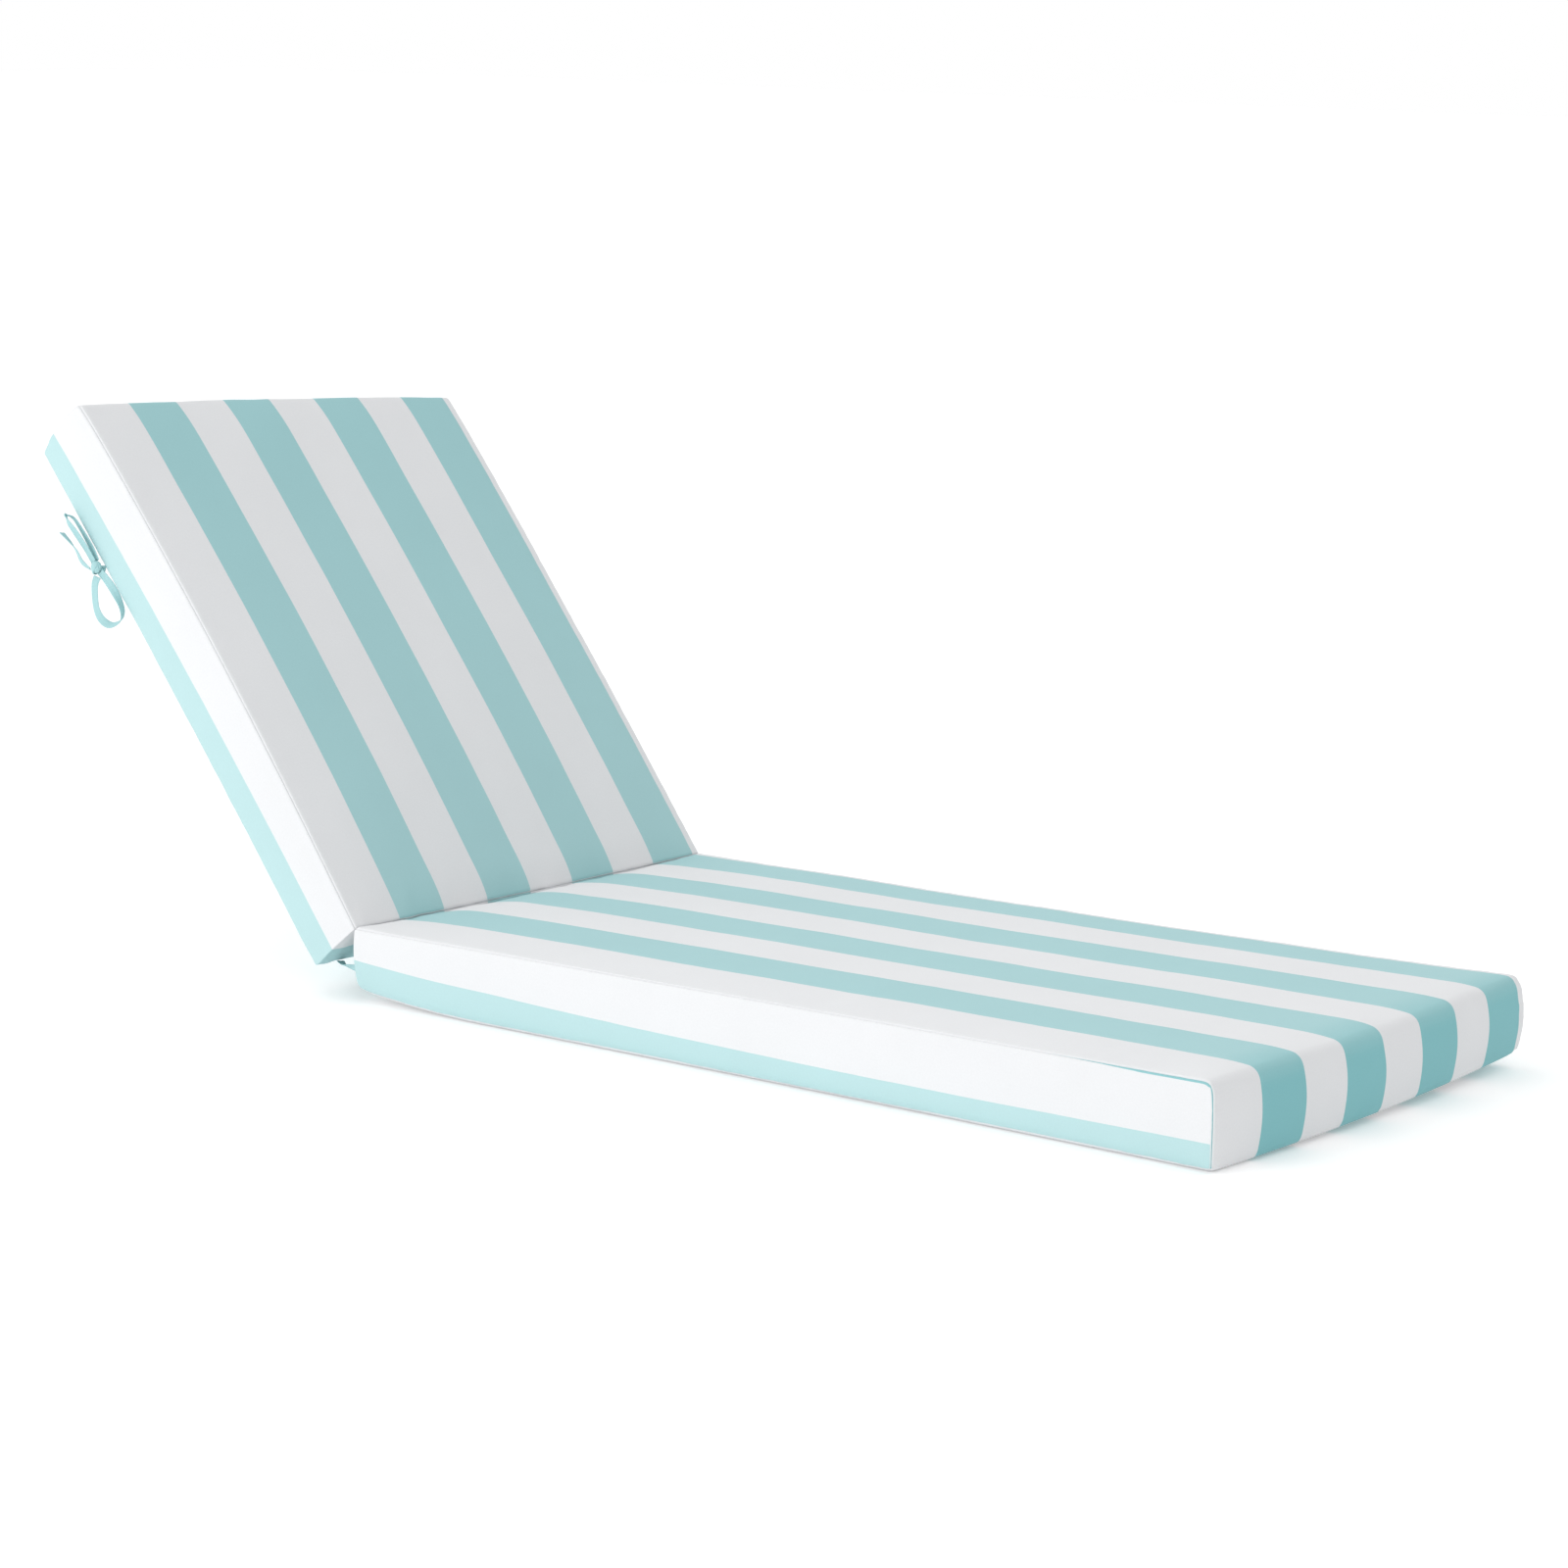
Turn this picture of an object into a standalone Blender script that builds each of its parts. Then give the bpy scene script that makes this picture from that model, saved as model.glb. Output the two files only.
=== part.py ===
"""Sun lounger cushion: a seat pad lying flat and a raised back pad, joined along a sewn crease.

Frame: metres, +Z up, the surface it lies on at Z = 0, +X towards the foot end, -Y the near side.
Each pad is modelled in its own frame: x from the crease along the pad, y across it, and z = 0 on the
plane of its top panel, so its filling is at negative z. The pads are then set at the crease.
"""
import math
from types import SimpleNamespace

import bmesh
import bpy
from mathutils import Vector

# Driving sizes, in metres
WIDTH = 0.600
SEAT_LENGTH = 1.1275
BACK_LENGTH = 0.681
BACK_ANGLE = math.radians(52.0)
SEAT_AT_HINGE = 0.0825
SEAT_AT_FOOT = 0.0915
BACK_AT_HINGE = 0.0845
BACK_AT_TOP = 0.092
CREASE_X = -0.322        # places the crease so that the whole cushion is centred on X = 0

# The seat is a little thicker at the foot, so its top panel rises towards it by this angle
SEAT_RISE = math.atan((SEAT_AT_FOOT - SEAT_AT_HINGE) / SEAT_LENGTH)

# Each pad's rounding, crown and draw-in, in metres. The slant is the share by which the near side of
# the pad is longer, and the far side shorter, than its middle
SEAT = SimpleNamespace(
    length=SEAT_LENGTH, hinge_depth=SEAT_AT_HINGE, end_depth=SEAT_AT_FOOT,
    top_edge=0.013, bottom_edge=0.010, heel=0.016, slant=0.0,
    crown_across=0.004, crown_along=0.0, crown_under=0.0,
    end_roll=0.0, roll_reach=0.10, crease_dip=0.007, dip_reach=0.090,
    heel_lift=0.012, lift_reach=0.180, heel_lean=0.006,
    end_bulge=0.006, end_lean=0.0, end_bow=0.012, side_bulge=0.006, draw_in=0.003,
)
BACK = SimpleNamespace(
    length=BACK_LENGTH, hinge_depth=BACK_AT_HINGE, end_depth=BACK_AT_TOP,
    top_edge=0.006, bottom_edge=0.010, heel=0.015, slant=0.025,
    crown_across=0.004, crown_along=0.0065, crown_under=0.004,
    end_roll=0.002, roll_reach=0.060, crease_dip=0.006, dip_reach=0.060,
    heel_lift=0.0, lift_reach=0.180, heel_lean=-0.005,
    end_bulge=0.006, end_lean=0.014, end_bow=0.004, side_bulge=0.006, draw_in=0.003,
)
SEAM_EDGE = 0.004        # round of the top seam along each side
SIDE_UNDER = 0.015       # round of the side's lower edge
CREASE_EDGE = 0.007      # round of each pad's top edge at the crease
PAST_CREASE = 0.0015     # how far each pad's end reaches past the crease line
BULGE_REACH = 0.050      # how far in from a face its bulge still shows
BOW_REACH = 0.160        # how far in from an end the bow of its edge still shows

# Hinge web and strap
WEB_THICKNESS = 0.0014
WEB_DEPTH = 0.012
WEB_TOP = 0.0035
TAPE_WIDTH = 0.009
TAPE_THICKNESS = 0.0013

# The strap's route, with x measured from the crease
STRAP = (
    SimpleNamespace(x=0.0026, y=-0.2880, z=0.0345, turn=5),
    SimpleNamespace(x=-0.0200, y=-0.2820, z=0.0325, turn=30),
    SimpleNamespace(x=-0.0420, y=-0.2720, z=0.0300, turn=65),
    SimpleNamespace(x=-0.0580, y=-0.2620, z=0.0312, turn=88),
)

# The tie's routes along the back pad, in mm: how far up from the crease, out from the near side,
# behind the rear panel, and the tape's turn in degrees, where 0 shows its flat face to the near side
KNOT = SimpleNamespace(along=530, out=4.5, behind=-1.5, length=12, width=11, thickness=7, corner=2.5)
STEM = ((525.0, -4.6, -2.6, 0), (527.5, -2.0, -2.0, 0), (530.0, 2.0, -1.5, 0))
LOOP_UPPER = (
    (536.6, 5.5, -3, 10), (556, 7.5, -4, 10), (577, 9.5, -3, 10), (594, 10.5, -1, 30), (601, 8.5, -1, 80),
    (599, 4.5, -3, 130), (592, 1.5, -4, 150), (573, 0.5, -5, 160), (554, 0.5, -5.5, 170), (536.6, 1.5, -4.5, 175),
)
LOOP_LOWER = (
    (520.4, 5.5, 2.5, 20), (515, 7.5, 9, 10), (503, 9.5, 16, 5), (489, 10.5, 22, 5), (476, 9.5, 23, 25),
    (466, 6.5, 19, 45), (462, 4.5, 10, 55), (463, 2.5, 2, 60), (471, 0.5, -3, 80), (483, -0.5, -4.5, 100),
    (499, -0.5, -4.5, 140), (514, 0.5, -3, 165), (523.7, 2.4, -2, 175),
)
FREE_END = (
    (533.5, 6.2, 6.0, 50), (545, 9.5, 9, 25), (558, 11.5, 7, 35), (572, 12, 9, 65), (588, 11.5, 14, 80),
)

# Colours from the photograph, linear RGB
STRIPE_CLOTH = (0.72, 0.86, 0.86)
AQUA_CLOTH = (0.33, 0.62, 0.62)
CLOTH_ROUGHNESS = 0.85

MM = 0.001


def clear_scene():
    for thing in list(bpy.data.objects):
        bpy.data.objects.remove(thing, do_unlink=True)


def new_collection(name):
    collection = bpy.data.collections.new(name)
    bpy.context.scene.collection.children.link(collection)
    return collection


def cloth(name, colour):
    material = bpy.data.materials.new(name)
    material.use_nodes = True
    shader = material.node_tree.nodes["Principled BSDF"]
    shader.inputs["Base Color"].default_value = (*colour, 1.0)
    shader.inputs["Roughness"].default_value = CLOTH_ROUGHNESS
    shader.inputs["Metallic"].default_value = 0.0
    return material


def cut_box(low, high, cuts):
    """A box from corner to corner, cut across at the given places along x, y and z."""
    shape = bmesh.new()
    bmesh.ops.create_cube(shape, size=1.0)
    for vertex in shape.verts:
        vertex.co = [low[i] + (vertex.co[i] + 0.5) * (high[i] - low[i]) for i in range(3)]
    for axis, places in enumerate(cuts):
        direction = Vector([1.0 if i == axis else 0.0 for i in range(3)])
        for place in places:
            everything = shape.verts[:] + shape.edges[:] + shape.faces[:]
            bmesh.ops.bisect_plane(
                shape, geom=everything, plane_co=direction * place, plane_no=direction
            )
    return shape


def add_object(name, shape, material, collection, parent=None):
    mesh = bpy.data.meshes.new(name)
    shape.to_mesh(mesh)
    shape.free()
    mesh.shade_smooth()
    mesh.materials.append(material)
    piece = bpy.data.objects.new(name, mesh)
    piece.parent = parent
    collection.objects.link(piece)
    return piece


def smooth(piece, levels):
    modifier = piece.modifiers.new("Round off", "SUBSURF")
    modifier.levels = levels
    modifier.render_levels = levels


def round_corner(first, second, radius):
    """Moves a point of a square corner onto a round one; both numbers are depths inside a face."""
    past_first = max(radius - first, 0.0)
    past_second = max(radius - second, 0.0)
    if not past_first or not past_second:
        return first, second
    shrink = max(past_first, past_second) / math.hypot(past_first, past_second)
    return radius - past_first * shrink, radius - past_second * shrink


def fade(distance, reach):
    """1 at no distance, falling smoothly to 0 at the reach."""
    return max(1.0 - distance / reach, 0.0) ** 2


def pad_point(co, pad):
    """Where a point of the pad's square box goes on the filled pad."""
    share = (co.x + PAST_CREASE) / (pad.length + PAST_CREASE)
    from_hinge = co.x + PAST_CREASE
    from_end = pad.length - co.x
    from_side = WIDTH / 2 - abs(co.y)
    depth = -co.z
    height = pad.end_depth - depth
    across = abs(co.y) / (WIDTH / 2)

    # Rounded edges: crease, heel, foot or top end, then the two long edges of each side
    if share < 0.5:
        from_hinge, depth = round_corner(from_hinge, depth, CREASE_EDGE)
        from_hinge, height = round_corner(from_hinge, height, pad.heel)
        x = from_hinge - PAST_CREASE
    else:
        from_end, depth = round_corner(from_end, depth, pad.top_edge)
        from_end, height = round_corner(from_end, height, pad.bottom_edge)
        x = pad.length - from_end
    if depth < height:
        height = pad.end_depth - depth
        from_side, depth = round_corner(from_side, depth, SEAM_EDGE)
    else:
        depth = pad.end_depth - height
        from_side, height = round_corner(from_side, height, SIDE_UNDER)
        depth = pad.end_depth - height
    y = math.copysign(WIDTH / 2 - from_side, co.y)

    # Fullness: sides and ends bulge at half their height, and the long sides draw in between corners
    down = min(max(depth / pad.end_depth, 0.0), 1.0)
    bulge = math.sin(math.pi * down)
    along = min(max(x / pad.length, 0.0), 1.0)
    y += math.copysign(pad.side_bulge * bulge * fade(from_side, BULGE_REACH), co.y)
    y *= 1.0 - pad.draw_in / (WIDTH / 2) * math.sin(math.pi * along)
    x += pad.end_bulge * bulge * fade(pad.length - x, BULGE_REACH)
    x -= pad.end_lean * down * fade(pad.length - x, BULGE_REACH)
    x += pad.heel_lean * down * fade(x, BULGE_REACH)
    flat_across = 1.0 - across ** 4

    # Top panel: crowned, rolled back at the far end, and dipped where it is sewn down at the crease
    top = pad.crown_across * flat_across * (1.0 - fade(x, pad.dip_reach))
    top += pad.crown_along * math.sin(math.pi * along)
    top -= pad.end_roll * fade(pad.length - x, pad.roll_reach)
    top -= pad.crease_dip * (1.0 - across ** 2) * fade(x, pad.dip_reach)
    under = pad.heel_lift * fade(x, pad.lift_reach)
    under -= pad.crown_under * flat_across * math.sin(math.pi * along)
    deepest = pad.hinge_depth + (pad.end_depth - pad.hinge_depth) * along
    z = -down * deepest + top * (1.0 - down) + under * down

    # Plan: the end's edge bows outwards between its corners, and the back's end is a little askew
    x -= pad.end_bow * across ** 2 * fade(pad.length - x, BOW_REACH)
    x *= 1.0 + pad.slant * y / (WIDTH / 2)
    return Vector((x, y, z))


def pad(name, sizes, material, collection, parent):
    """A filled box pad: a coarse box whose points are moved to the pad's form, then rounded off."""
    half = WIDTH / 2
    side_cuts = (half - SEAM_EDGE, half - SIDE_UNDER, 0.245, 0.15)
    across = [-place for place in side_cuts] + [0.0] + list(side_cuts)
    middle = sizes.length / 2
    along = (
        CREASE_EDGE - PAST_CREASE, 0.024, 0.060, 0.120, middle * 0.55, middle, middle * 1.5,
        sizes.length - 0.085, sizes.length - 0.045, sizes.length - sizes.top_edge,
    )
    down = (-SEAM_EDGE, -sizes.top_edge, -sizes.end_depth / 2, -sizes.end_depth + SIDE_UNDER)
    shape = cut_box(
        (-PAST_CREASE, -half, -sizes.end_depth), (sizes.length, half, 0.0), (along, across, down)
    )
    for vertex in shape.verts:
        vertex.co = pad_point(vertex.co, sizes)
    piece = add_object(name, shape, material, collection, parent)
    smooth(piece, 1)
    return piece


def smooth_route(rows, steps_each=12):
    """Points on one smooth curve through the rows, with the turn carried along as a fourth number."""
    rows = [tuple(float(number) for number in row) for row in rows]
    padded = [rows[0]] + rows + [rows[-1]]
    points = []
    for i in range(len(rows) - 1):
        a, b, c, d = padded[i:i + 4]
        for step in range(steps_each):
            t = step / steps_each
            points.append([
                0.5 * (2 * q + (r - p) * t + (2 * p - 5 * q + 4 * r - s) * t ** 2
                       + (3 * q - p - 3 * r + s) * t ** 3)
                for p, q, r, s in zip(a, b, c, d)
            ])
    points.append(list(rows[-1]))
    return points


def route_on_back(rows):
    """A tie's rows, turned from mm along, out and behind into points in the back pad's frame."""
    points = []
    for along, out, behind, turn in smooth_route(rows):
        place = Vector((along * MM, WIDTH / 2 + out * MM, -BACK_AT_TOP - behind * MM))
        points.append((place, math.radians(turn)))
    return points


def tape(points, steps, flat_side):
    """A flat tape: a thin box, bent onto the route and turned by each point's angle."""
    distances = [0.0]
    for (start, _), (end, _) in zip(points, points[1:]):
        distances.append(distances[-1] + (end - start).length)
    length = distances[-1]
    cuts = [length * step / steps for step in range(1, steps)]
    half_width = TAPE_WIDTH / 2
    half_thick = TAPE_THICKNESS / 2
    shape = cut_box((0, -half_width, -half_thick), (length, half_width, half_thick), (cuts, (), ()))
    for vertex in shape.verts:
        distance = min(max(vertex.co.x, 0.0), length)
        i = 0
        while i < len(distances) - 2 and distances[i + 1] < distance:
            i += 1
        share = (distance - distances[i]) / (distances[i + 1] - distances[i])
        place = points[i][0].lerp(points[i + 1][0], share)
        turn = points[i][1] + (points[i + 1][1] - points[i][1]) * share
        ahead = points[min(i + 2, len(points) - 1)][0] - points[max(i - 1, 0)][0]
        ahead.normalize()
        level = ahead.cross(flat_side).normalized()
        proud = level.cross(ahead).normalized()
        wide = level * math.cos(turn) + proud * math.sin(turn)
        thick = ahead.cross(wide)
        vertex.co = place + wide * vertex.co.y + thick * vertex.co.z
    return shape


def tie(material, collection, cutters, back_frame):
    """The bow at the back pad's near rear edge: a knot on its sewn stem, two loops, a free end."""
    near_side = Vector((0.0, 1.0, 0.0))
    for name, rows, steps in (
        ("tie_loop_upper", LOOP_UPPER, 34),
        ("tie_loop_lower", LOOP_LOWER, 40),
        ("tie_free_end", FREE_END, 16),
    ):
        add_object(name, tape(route_on_back(rows), steps, near_side), material, collection, back_frame)
    half = Vector((KNOT.length, KNOT.thickness, KNOT.width)) * MM / 2
    centre = Vector((KNOT.along * MM, WIDTH / 2 + KNOT.out * MM, -BACK_AT_TOP - KNOT.behind * MM))
    knot = add_object("tie_knot", cut_box(centre - half, centre + half, ((), (), ())),
                      material, collection, back_frame)
    edges = knot.modifiers.new("Soft edges", "BEVEL")
    edges.width = KNOT.corner * MM
    edges.segments = 2
    stem = add_object("tie_stem", tape(route_on_back(STEM), 4, near_side), material, cutters, back_frame)
    stem.hide_render = True
    stem.display_type = "WIRE"
    join = knot.modifiers.new("Sewn stem", "BOOLEAN")
    join.operation = "UNION"
    join.object = stem


def hinge_web(material, collection, crease):
    """The sewn-through strip of cloth that hangs in the crease, halfway between the two pads."""
    half = WIDTH / 2 - SIDE_UNDER
    shape = cut_box((-WEB_THICKNESS / 2, -half, -WEB_DEPTH), (WEB_THICKNESS / 2, half, 0.0), ((), (), ()))
    web = add_object("hinge_web", shape, material, collection)
    lean = BACK_ANGLE / 2
    web.rotation_euler = (0.0, lean, 0.0)
    down = Vector((-math.sin(lean), 0.0, -math.cos(lean)))
    web.location = crease + down * WEB_TOP


def hinge_strap(material, collection, crease):
    """The tape sewn between the seat's rear face and the underside of the back pad's heel."""
    rows = [(crease.x + row.x, row.y, row.z, row.turn) for row in STRAP]
    points = [(Vector(row[:3]), math.radians(row[3])) for row in smooth_route(rows)]
    shape = tape(points, 14, Vector((0.0, -1.0, 0.0)))
    add_object("hinge_strap", shape, material, collection)


def main():
    clear_scene()
    parts = new_collection("sun_lounger_cushion")
    cutters = new_collection("cutters")
    stripe = cloth("striped cover cloth", STRIPE_CLOTH)
    aqua = cloth("aqua tape", AQUA_CLOTH)

    crease = Vector((CREASE_X, 0.0, SEAT_AT_HINGE * math.cos(SEAT_RISE)))

    seat = pad("seat_pad", SEAT, stripe, parts, None)
    seat.location = crease
    seat.rotation_euler = (0.0, -SEAT_RISE, 0.0)

    # Turned half a turn about Z, so that its own x runs away from the foot, then raised
    back_frame = bpy.data.objects.new("back_frame", None)
    parts.objects.link(back_frame)
    back_frame.location = crease
    back_frame.rotation_euler = (0.0, -BACK_ANGLE, math.pi)
    pad("back_pad", BACK, stripe, parts, back_frame)

    hinge_web(stripe, parts, crease)
    hinge_strap(aqua, parts, crease)
    tie(aqua, parts, cutters, back_frame)


main()
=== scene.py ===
# %% [markdown]
# # A sun lounger cushion
# Two filled pads of striped cover cloth meet along a sewn crease, and one pad is raised. A tie hangs
# in a bow on the raised pad's near side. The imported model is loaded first. It is never moved: each new
# piece is made where its own node is.

# %% Load the frame
import math
from types import SimpleNamespace

import bmesh
import bpy
import numpy as np
from mathutils import Euler, Matrix, Vector, noise


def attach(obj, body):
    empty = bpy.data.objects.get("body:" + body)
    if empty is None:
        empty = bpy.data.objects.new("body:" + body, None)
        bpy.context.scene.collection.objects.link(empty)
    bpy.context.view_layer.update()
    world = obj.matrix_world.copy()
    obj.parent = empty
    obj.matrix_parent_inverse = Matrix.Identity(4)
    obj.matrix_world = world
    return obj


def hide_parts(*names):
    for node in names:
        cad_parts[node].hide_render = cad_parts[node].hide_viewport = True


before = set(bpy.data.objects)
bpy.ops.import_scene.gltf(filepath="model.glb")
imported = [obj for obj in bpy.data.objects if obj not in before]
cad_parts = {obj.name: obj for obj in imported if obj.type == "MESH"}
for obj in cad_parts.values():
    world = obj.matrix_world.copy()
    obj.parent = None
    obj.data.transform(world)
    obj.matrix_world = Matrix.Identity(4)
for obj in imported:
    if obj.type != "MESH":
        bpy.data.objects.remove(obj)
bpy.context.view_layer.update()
nodes = sorted(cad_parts)
print("nodes:", ", ".join(nodes))

# %% [markdown]
# The camera stands low, in front of the cushion's near side, and looks along it with a long lens. Its
# place was worked out from the stripes, which are straight lines of known spacing. It comes first,
# because everything after it is judged through it.

# %% Camera
CAMERA_AT = (3.1182, -3.9689, 1.1338)
CAMERA_TURN = (80.0054, -0.9746, 37.9977)
CAMERA_LENS = 107.049
SENSOR = 36.0

camera_data = bpy.data.cameras.new("studio_camera")
camera_data.lens = CAMERA_LENS
camera_data.sensor_width = SENSOR
camera = bpy.data.objects.new("studio_camera", camera_data)
camera.location = CAMERA_AT
camera.rotation_euler = [math.radians(angle) for angle in CAMERA_TURN]
bpy.context.scene.collection.objects.link(camera)
bpy.context.scene.camera = camera
print("camera lens", CAMERA_LENS, "mm")

# %% [markdown]
# Both pads are easiest to think of lying flat, each in its own frame: x runs from the crease along the
# pad, y across it, and z = 0 is its top panel. One matrix for each pad then sets it at the crease,
# and the back pad's turns it round and raises it.

# %% Sizes and the two frames
WIDTH = 0.600
SEAT_LENGTH = 1.1275
BACK_LENGTH = 0.681
BACK_ANGLE = math.radians(52.0)
SEAT_AT_HINGE = 0.0825
SEAT_AT_FOOT = 0.0915
BACK_AT_HINGE = 0.0845
BACK_AT_TOP = 0.092
CREASE_X = -0.322
STRIPE = 0.0735
MM = 0.001

SEAT_RISE = math.atan((SEAT_AT_FOOT - SEAT_AT_HINGE) / SEAT_LENGTH)
CREASE = Vector((CREASE_X, 0.0, SEAT_AT_HINGE * math.cos(SEAT_RISE)))
SEAT_FRAME = Matrix.Translation(CREASE) @ Euler((0.0, -SEAT_RISE, 0.0)).to_matrix().to_4x4()
BACK_FRAME = Matrix.Translation(CREASE) @ Euler((0.0, -BACK_ANGLE, math.pi)).to_matrix().to_4x4()
print("crease at", [round(number, 4) for number in CREASE])

# %% [markdown]
# A few helpers are used again and again: start from nothing selected, add a box at its size and
# place, and cut it across at given places. The cuts are what lets a stiff box bend into cloth.

# %% Helpers for modelling
def only(piece):
    """Leaves this piece alone selected, in object mode."""
    if bpy.context.object and bpy.context.object.mode != "OBJECT":
        bpy.ops.object.mode_set(mode="OBJECT")
    bpy.ops.object.select_all(action="DESELECT")
    piece.select_set(True)
    bpy.context.view_layer.objects.active = piece


def cut_box(name, low, high, cuts):
    """A box from corner to corner, cut across at the given places along x, y and z."""
    bpy.ops.object.select_all(action="DESELECT")
    middle = [(a + b) / 2 for a, b in zip(low, high)]
    bpy.ops.mesh.primitive_cube_add(size=1.0, location=middle, scale=[b - a for a, b in zip(low, high)])
    piece = bpy.context.object
    piece.name = piece.data.name = name
    bpy.ops.object.transform_apply(location=True, rotation=True, scale=True)
    bpy.ops.object.mode_set(mode="EDIT")
    for axis in (2, 1, 0):
        for place in cuts[axis]:
            point = [place if i == axis else 0.0 for i in range(3)]
            normal = [1.0 if i == axis else 0.0 for i in range(3)]
            bpy.ops.mesh.select_all(action="SELECT")
            bpy.ops.mesh.bisect(plane_co=point, plane_no=normal)
    bpy.ops.object.mode_set(mode="OBJECT")
    return piece


def apply_modifier(piece, kind, **settings):
    only(piece)
    modifier = piece.modifiers.new(kind.title(), kind)
    for setting, value in settings.items():
        setattr(modifier, setting, value)
    bpy.ops.object.modifier_apply(modifier=modifier.name)


def points_of(piece):
    places = np.empty(len(piece.data.vertices) * 3)
    piece.data.vertices.foreach_get("co", places)
    return places.reshape(-1, 3)


def set_points(piece, places):
    piece.data.vertices.foreach_set("co", np.ascontiguousarray(places, dtype=np.float64).ravel())
    piece.data.update()


def lay_cloth(piece, flat):
    """Gives the piece the UV map that the weave follows, in metres, from one flat place for each point."""
    while piece.data.uv_layers:
        piece.data.uv_layers.remove(piece.data.uv_layers[0])
    layer = piece.data.uv_layers.new(name="cloth")
    corners = np.empty(len(piece.data.loops), dtype=np.int32)
    piece.data.loops.foreach_get("vertex_index", corners)
    layer.data.foreach_set("uv", np.ascontiguousarray(flat[corners], dtype=np.float32).ravel())


def even(start, end, spacing):
    """Cuts at an even spacing between two places, without the places themselves."""
    steps = max(int(round((end - start) / spacing)), 1)
    return [start + (end - start) * step / steps for step in range(1, steps)]


# %% [markdown]
# Cover cloth like this is a plain weave of spun polyester, dyed in wide stripes. The weave is far finer
# than a stripe, so it only softens the light: a small bump and a slight change of colour from thread to
# thread, both on the cloth's own UV map, so that they follow it round every edge. The stripes read a
# number painted on the mesh, counted in stripes across the cloth: odd stripes are aqua. A second
# number paints light and shade into the aqua, between a shaded and a lit tone: painted shade on the foot
# end, painted light on the boxing.

# %% Cloth materials
# The aqua has a shaded and a lit tone, mixed to paint light and shade on the cloth; the tape takes one fixed mix of
# them.
SHADED_AQUA = (0.225, 0.520, 0.550)
LIT_AQUA = (0.480, 0.690, 0.705)
WHITE = (0.775, 0.785, 0.800)
TAPE_LIGHT_SHARE = 0.65
THREAD = 0.0008


def link(tree, start, end):
    tree.links.new(start, end)


def node_of(tree, kind, **settings):
    made = tree.nodes.new(kind)
    for setting, value in settings.items():
        setattr(made, setting, value)
    return made


def math_node(tree, operation, first, second=None):
    made = node_of(tree, "ShaderNodeMath", operation=operation)
    for slot, value in enumerate((first, second)):
        if value is None:
            continue
        if isinstance(value, (int, float)):
            made.inputs[slot].default_value = value
        else:
            link(tree, value, made.inputs[slot])
    return made.outputs[0]


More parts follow.
